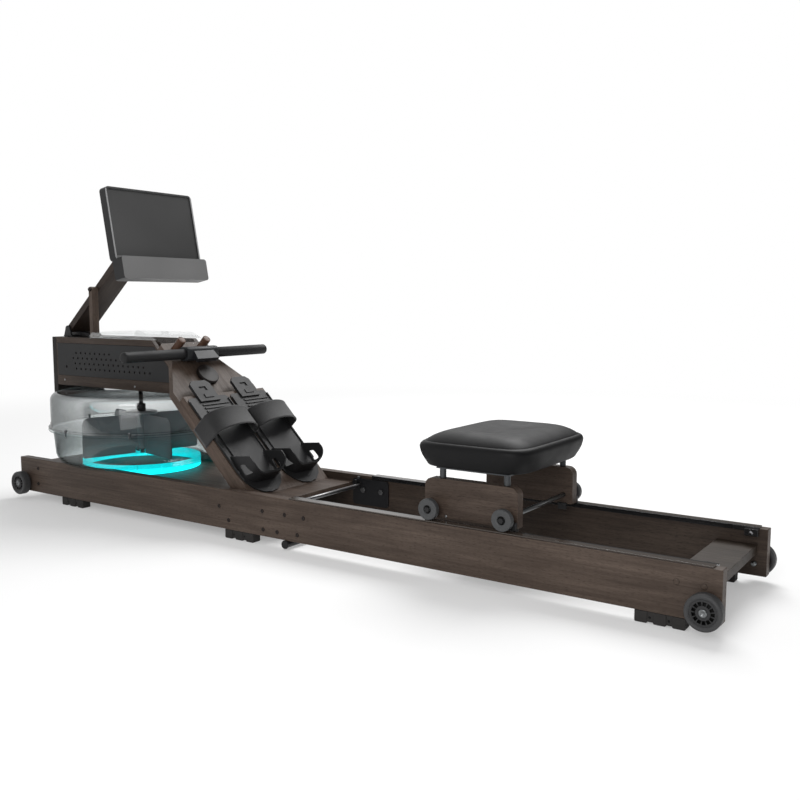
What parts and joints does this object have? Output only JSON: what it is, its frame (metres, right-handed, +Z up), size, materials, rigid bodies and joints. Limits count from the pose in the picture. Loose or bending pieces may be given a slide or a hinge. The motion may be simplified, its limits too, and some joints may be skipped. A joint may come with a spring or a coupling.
{
  "type": "water rowing machine",
  "caption": "Rowing machine with a clear water tank and impeller at the front, a sloping footboard, a pull handle on a strap, and a padded seat that rolls along two wooden rails.",
  "frame": {"origin": "on the floor, halfway along the rails and midway between them", "axes": "+X from the water tank to the rear end of the rails, +Y to the rower's right, +Z up"},
  "size_m": [2.078, 0.524, 0.8954],
  "materials": {
    "walnut": "oiled dark walnut",
    "webbing": "woven black webbing",
    "rubber_foot": "matte",
    "track_plastic": "glossy black",
    "black_steel": "satin black powder coat",
    "steel": "brushed",
    "clear_plastic": "clear polycarbonate",
    "light_plastic": "cyan light ring",
    "black_plastic": "fine moulded texture",
    "wheel_rubber": "grey wheel",
    "grey_plastic": "semi gloss",
    "handle_rubber": "matte grip",
    "holder_plastic": "satin black",
    "seat_leather": "smooth black"
  },
  "bodies": {
    "root": {"rail_left": "walnut", "rail_right": "walnut", "foot_front_left": "rubber_foot", "foot_front_right": "rubber_foot", "foot_middle_left": "rubber_foot", "foot_middle_right": "rubber_foot", "foot_rear_left": "rubber_foot", "foot_rear_right": "rubber_foot", "track_left": "track_plastic", "track_right": "track_plastic", "joint_plate_left": "black_steel", "joint_plate_right": "black_steel", "joint_rod": "steel", "under_tube": "black_steel", "base_board": "walnut", "rear_board": "walnut", "tank_lower": "clear_plastic", "tank_upper": "clear_plastic", "light_ring": "light_plastic", "frame_side_left": "walnut", "frame_side_right": "walnut", "frame_panel_left": "black_plastic", "frame_panel_right": "black_plastic", "frame_end": "walnut", "frame_floor": "walnut", "clear_cover": "clear_plastic", "footboard": "walnut", "handle_peg_left": "walnut", "handle_peg_right": "walnut", "board_disc": "walnut", "pull_strap": "webbing", "footplate_left": "black_plastic", "footplate_right": "black_plastic", "foot_strap_left": "webbing", "foot_strap_right": "webbing", "tablet_bracket": "black_steel"},
    "seat": {"seat_plate_left": "walnut", "seat_plate_right": "walnut", "seat_bracket_left": "steel", "seat_bracket_right": "steel", "seat_axle_front": "steel", "seat_axle_rear": "steel", "seat_cushion": "seat_leather"},
    "seat_roller_front_left": {"seat_roller_front_left": "grey_plastic"},
    "seat_roller_front_right": {"seat_roller_front_right": "grey_plastic"},
    "seat_roller_rear_left": {"seat_roller_rear_left": "grey_plastic"},
    "seat_roller_rear_right": {"seat_roller_rear_right": "grey_plastic"},
    "wheel_front_left": {"wheel_front_left": "wheel_rubber"},
    "wheel_front_right": {"wheel_front_right": "wheel_rubber"},
    "wheel_rear_left": {"wheel_rear_left": "wheel_rubber"},
    "wheel_rear_right": {"wheel_rear_right": "wheel_rubber"},
    "impeller": {"impeller": "grey_plastic"},
    "drum": {"strap_drum": "black_plastic"},
    "handle": {"handle_bar": "handle_rubber", "handle_clamp": "grey_plastic"},
    "heel_slider_left": {"heel_slider_left": "black_plastic"},
    "heel_slider_right": {"heel_slider_right": "black_plastic"},
    "arm": {"tablet_arm": "walnut"},
    "strut": {"tablet_strut": "walnut"},
    "holder": {"tablet_holder": "holder_plastic"}
  },
  "joints": [
    {"name": "seat_slide", "type": "slide", "parent": "root", "child": "seat", "axis": [1, 0, 0], "range_m": [-0.36, 0.36]},
    {"name": "seat_roller_front_left_spin", "type": "hinge", "parent": "seat", "child": "seat_roller_front_left", "pos_m": [0.416, -0.171, 0.1485], "axis": [0, 1, 0], "range_deg": [-900, 900]},
    {"name": "seat_roller_front_right_spin", "type": "hinge", "parent": "seat", "child": "seat_roller_front_right", "pos_m": [0.416, 0.171, 0.1485], "axis": [0, 1, 0], "range_deg": [-900, 900]},
    {"name": "seat_roller_rear_left_spin", "type": "hinge", "parent": "seat", "child": "seat_roller_rear_left", "pos_m": [0.592, -0.171, 0.1485], "axis": [0, 1, 0], "range_deg": [-900, 900]},
    {"name": "seat_roller_rear_right_spin", "type": "hinge", "parent": "seat", "child": "seat_roller_rear_right", "pos_m": [0.592, 0.171, 0.1485], "axis": [0, 1, 0], "range_deg": [-900, 900]},
    {"name": "wheel_front_left_spin", "type": "hinge", "parent": "root", "child": "wheel_front_left", "pos_m": [-1.005, -0.2, 0.048], "axis": [0, 1, 0], "continuous": true},
    {"name": "wheel_front_right_spin", "type": "hinge", "parent": "root", "child": "wheel_front_right", "pos_m": [-1.005, 0.2, 0.048], "axis": [0, 1, 0], "continuous": true},
    {"name": "wheel_rear_left_spin", "type": "hinge", "parent": "root", "child": "wheel_rear_left", "pos_m": [1.005, -0.2, 0.048], "axis": [0, 1, 0], "continuous": true},
    {"name": "wheel_rear_right_spin", "type": "hinge", "parent": "root", "child": "wheel_rear_right", "pos_m": [1.005, 0.2, 0.048], "axis": [0, 1, 0], "continuous": true},
    {"name": "impeller_spin", "type": "hinge", "parent": "root", "child": "impeller", "pos_m": [-0.697, 0, 0.2], "axis": [0, 0, 1], "continuous": true},
    {"name": "handle_pull", "type": "slide", "parent": "root", "child": "handle", "axis": [1, 0, 0], "range_m": [0, 1.2], "stiffness_N_per_m": 20, "springref_m": -0.5},
    {"name": "drum_spin", "type": "hinge", "parent": "root", "child": "drum", "pos_m": [-0.697, 0, 0.4427], "axis": [0, 0, 1], "range_deg": [0, 2370]},
    {"name": "heel_slide_left", "type": "slide", "parent": "root", "child": "heel_slider_left", "axis": [-0.7071, 0, 0.7071], "range_m": [-0.01, 0.045]},
    {"name": "heel_slide_right", "type": "slide", "parent": "root", "child": "heel_slider_right", "axis": [-0.7071, 0, 0.7071], "range_m": [-0.01, 0.045]},
    {"name": "arm_lift", "type": "hinge", "parent": "root", "child": "arm", "pos_m": [-0.969, 0, 0.501], "axis": [0, 1, 0], "range_deg": [-45, 0]},
    {"name": "strut_swing", "type": "hinge", "parent": "arm", "child": "strut", "pos_m": [-0.83123, -0.051, 0.61992], "axis": [0, 1, 0], "range_deg": [0, 49]},
    {"name": "holder_tilt", "type": "hinge", "parent": "arm", "child": "holder", "pos_m": [-0.66544, 0, 0.76302], "axis": [0, 1, 0], "range_deg": [-15, 15]}
  ],
  "couplings": [
    {"joint": "seat_roller_front_left_spin", "follows": "seat_slide", "rad_per_m": 43.478},
    {"joint": "seat_roller_front_right_spin", "follows": "seat_slide", "rad_per_m": 43.478},
    {"joint": "seat_roller_rear_left_spin", "follows": "seat_slide", "rad_per_m": 43.478},
    {"joint": "seat_roller_rear_right_spin", "follows": "seat_slide", "rad_per_m": 43.478},
    {"joint": "drum_spin", "follows": "handle_pull", "rad_per_m": 34.25}
  ]
}
